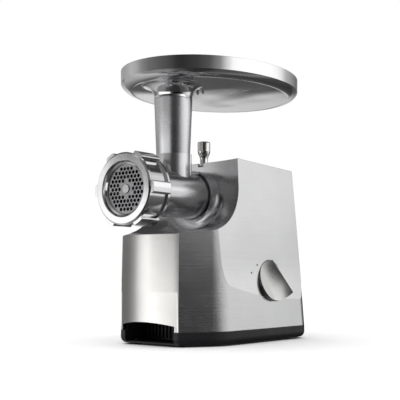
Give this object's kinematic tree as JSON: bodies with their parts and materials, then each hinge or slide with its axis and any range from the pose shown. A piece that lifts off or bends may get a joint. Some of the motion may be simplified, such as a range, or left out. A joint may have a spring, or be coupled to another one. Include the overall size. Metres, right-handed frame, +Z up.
{
  "type": "electric meat grinder",
  "caption": "Electric meat grinder: a leaning metal housing with a barrel, ring nut, feed tube and oval tray in front, and a speed dial on one side.",
  "frame": {"origin": "on the table, under the middle of the machine's outer box", "axes": "+Z up, -Y towards the ring nut and the user, +X to the side with the speed dial"},
  "size_m": [0.194, 0.2756, 0.3151],
  "materials": {
    "housing_metal": "fine brushed satin",
    "panel_metal": "brushed, brighter than the housing",
    "base_plastic": "fine moulded texture, charcoal",
    "foot_rubber": "matt",
    "cast_aluminium": "cast and polished",
    "polished_nut": "bright polish",
    "polished_tray": "mirror polish",
    "cutting_steel": "ground",
    "scroll_aluminium": "cast, tumbled",
    "knob_chrome": "polished",
    "dial_metal": "brushed",
    "machine_steel": "turned and cut",
    "gear_nylon": "moulded nylon",
    "bronze": "sintered",
    "copper": "varnished copper",
    "lamination_steel": "stacked sheet steel",
    "gearbox_casting": "die cast",
    "inner_plastic": "moulded",
    "carbon": "pressed graphite",
    "board_green": "solder resist",
    "capacitor_case": "moulded"
  },
  "bodies": {
    "housing": {"base_pan": "base_plastic", "base_screws": "machine_steel", "brush_holder_left": "inner_plastic", "brush_holder_right": "inner_plastic", "carbon_brush_left": "carbon", "carbon_brush_right": "carbon", "control_board": "board_green", "cord_inlet": "inner_plastic", "fan_shroud": "inner_plastic", "field_coil_left": "copper", "field_coil_right": "copper", "filter_capacitor": "capacitor_case", "foot_1": "foot_rubber", "foot_2": "foot_rubber", "foot_3": "foot_rubber", "foot_4": "foot_rubber", "front_panel": "panel_metal", "gearbox_case": "gearbox_casting", "gearbox_cover": "gearbox_casting", "layshaft_bush_1": "bronze", "layshaft_bush_2": "bronze", "layshaft_bush_3": "bronze", "layshaft_bush_4": "bronze", "main_housing": "housing_metal", "motor_bearing_front": "bronze", "motor_bearing_rear": "bronze", "motor_frame_front": "gearbox_casting", "motor_stator": "lamination_steel", "outlet_sleeve": "cast_aluminium", "output_bush": "bronze", "rotary_switch": "inner_plastic", "spindle_bush": "bronze", "vent_grille": "base_plastic"},
    "rotor": {"armature_shaft": "machine_steel", "armature_core": "lamination_steel", "armature_winding": "copper", "commutator": "copper", "cooling_fan": "inner_plastic", "motor_pinion": "machine_steel"},
    "first_layshaft": {"first_layshaft": "machine_steel", "first_gear": "gear_nylon", "second_pinion": "machine_steel"},
    "second_layshaft": {"second_layshaft": "machine_steel", "second_gear": "machine_steel", "third_pinion": "machine_steel"},
    "drive_output": {"output_shaft": "machine_steel", "output_gear": "machine_steel"},
    "head": {"grinder_head": "cast_aluminium", "screen_key": "cutting_steel"},
    "feed_scroll": {"scroll": "scroll_aluminium", "scroll_washer": "gear_nylon", "cutter_blade": "cutting_steel"},
    "screen": {"screen_plate": "cutting_steel"},
    "ring_nut": {"ring_nut": "polished_nut"},
    "tray": {"hopper_tray": "polished_tray", "tray_rivets": "polished_tray"},
    "clamp_pad": {"clamp_pad": "machine_steel"},
    "locking_knob": {"locking_knob": "knob_chrome"},
    "dial": {"dial": "dial_metal"}
  },
  "joints": [
    {"name": "motor_spin", "type": "hinge", "parent": "housing", "child": "rotor", "pos_m": [0, 0, 0.07], "axis": [0, 1, 0], "continuous": true},
    {"name": "first_layshaft_spin", "type": "hinge", "parent": "housing", "child": "first_layshaft", "pos_m": [-0.018, 0.05, 0.10118], "axis": [0, 1, 0], "continuous": true},
    {"name": "second_layshaft_spin", "type": "hinge", "parent": "housing", "child": "second_layshaft", "pos_m": [0.00316, 0.04, 0.13214], "axis": [0, 1, 0], "continuous": true},
    {"name": "output_spin", "type": "hinge", "parent": "housing", "child": "drive_output", "pos_m": [0, 0.03, 0.168], "axis": [0, 1, 0], "continuous": true},
    {"name": "head_slide", "type": "slide", "parent": "housing", "child": "head", "axis": [0, -1, 0], "range_m": [0, 0.05]},
    {"name": "scroll_spin", "type": "hinge", "parent": "head", "child": "feed_scroll", "pos_m": [0, -0.05, 0.168], "axis": [0, 1, 0], "continuous": true},
    {"name": "tray_lift", "type": "slide", "parent": "head", "child": "tray", "axis": [0, 0, 1], "range_m": [0, 0.04]},
    {"name": "plate_travel", "type": "slide", "parent": "head", "child": "screen", "axis": [0, -1, 0], "range_m": [0, 0.0215]},
    {"name": "nut_turn", "type": "hinge", "parent": "screen", "child": "ring_nut", "pos_m": [0, -0.1208, 0.168], "axis": [0, -1, 0], "range_deg": [0, 2520]},
    {"name": "clamp_lift", "type": "slide", "parent": "housing", "child": "clamp_pad", "axis": [0, 0, 1], "range_m": [0, 0.0025]},
    {"name": "knob_turn", "type": "hinge", "parent": "clamp_pad", "child": "locking_knob", "pos_m": [0, 0.0015, 0.21], "axis": [0, 0, 1], "range_deg": [0, 724]},
    {"name": "dial_turn", "type": "hinge", "parent": "housing", "child": "dial", "pos_m": [0.06843, 0.041, 0.0692], "axis": [0.9613, 0, 0.2756], "range_deg": [-28.5, 28.5]}
  ],
  "couplings": [
    {"joint": "first_layshaft_spin", "follows": "motor_spin", "ratio": -0.2},
    {"joint": "second_layshaft_spin", "follows": "motor_spin", "ratio": 0.05},
    {"joint": "output_spin", "follows": "motor_spin", "ratio": -0.016667},
    {"joint": "scroll_spin", "follows": "motor_spin", "ratio": -0.016667},
    {"joint": "plate_travel", "follows": "nut_turn", "m_per_rad": 0.00047746},
    {"joint": "knob_turn", "follows": "clamp_lift", "rad_per_m": 5026.5}
  ]
}
